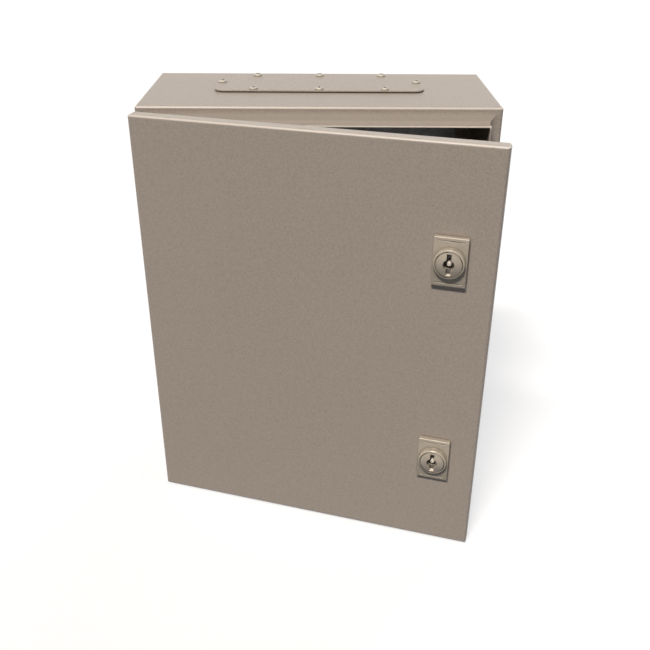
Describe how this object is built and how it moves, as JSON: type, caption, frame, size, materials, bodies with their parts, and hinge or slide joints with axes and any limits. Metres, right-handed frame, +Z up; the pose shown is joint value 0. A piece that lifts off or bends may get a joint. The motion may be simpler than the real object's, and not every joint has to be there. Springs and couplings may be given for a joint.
{
  "type": "electrical enclosure",
  "caption": "Wall-mounted sheet-steel electrical enclosure with a hinged door ajar, quarter-turn locks, a screwed gland plate on top and a mounting plate inside.",
  "frame": {"origin": "centre of the four wall-fixing holes, on the wall side of the back", "axes": "+Y into the wall, +Z up; the door faces -Y"},
  "size_m": [0.4025, 0.3141, 0.5053],
  "materials": {
    "paint": "fine-textured pebble-grey powder coat",
    "galvanised": "galvanised sheet with a faint spangle",
    "bright_zinc": "bright zinc plating",
    "screw_zinc": "pale zinc plating",
    "lock_metal": "satin die-cast zinc",
    "foam": "black closed-cell foam"
  },
  "bodies": {
    "enclosure": {"enclosure_body": "paint", "gland_plate": "paint", "gland_plate_gasket": "foam", "gland_plate_screws": "screw_zinc", "mounting_plate": "galvanised", "mounting_plate_studs": "bright_zinc", "mounting_plate_washers": "bright_zinc", "mounting_plate_nuts": "bright_zinc", "body_earth_stud": "bright_zinc", "body_earth_washer": "bright_zinc", "body_earth_nut": "bright_zinc", "upper_body_hinge": "paint", "lower_body_hinge": "paint", "upper_hinge_pin": "bright_zinc", "lower_hinge_pin": "bright_zinc"},
    "door": {"door_panel": "paint", "door_seal": "foam", "upper_door_hinge": "paint", "lower_door_hinge": "paint", "door_earth_stud": "bright_zinc", "door_earth_washer": "bright_zinc", "door_earth_nut": "bright_zinc", "upper_lock_housing": "lock_metal", "upper_lock_seal": "foam", "upper_lock_nut": "bright_zinc", "lower_lock_housing": "lock_metal", "lower_lock_seal": "foam", "lower_lock_nut": "bright_zinc"},
    "upper_lock": {"upper_lock_insert": "lock_metal", "upper_key_pin": "bright_zinc", "upper_lock_cam": "bright_zinc", "upper_cam_screw": "bright_zinc"},
    "lower_lock": {"lower_lock_insert": "lock_metal", "lower_key_pin": "bright_zinc", "lower_lock_cam": "bright_zinc", "lower_cam_screw": "bright_zinc"}
  },
  "joints": [
    {"name": "door_hinge", "type": "hinge", "parent": "enclosure", "child": "door", "pos_m": [-0.195, -0.188, 0], "axis": [0, 0, -1], "range_deg": [-16.5, 103.5]},
    {"name": "upper_lock_turn", "type": "hinge", "parent": "door", "child": "upper_lock", "pos_m": [0.13478, -0.2982, 0.125], "axis": [0.284, 0.9588, 0], "range_deg": [0, 90]},
    {"name": "lower_lock_turn", "type": "hinge", "parent": "door", "child": "lower_lock", "pos_m": [0.13478, -0.2982, -0.125], "axis": [0.284, 0.9588, 0], "range_deg": [0, 90]}
  ]
}
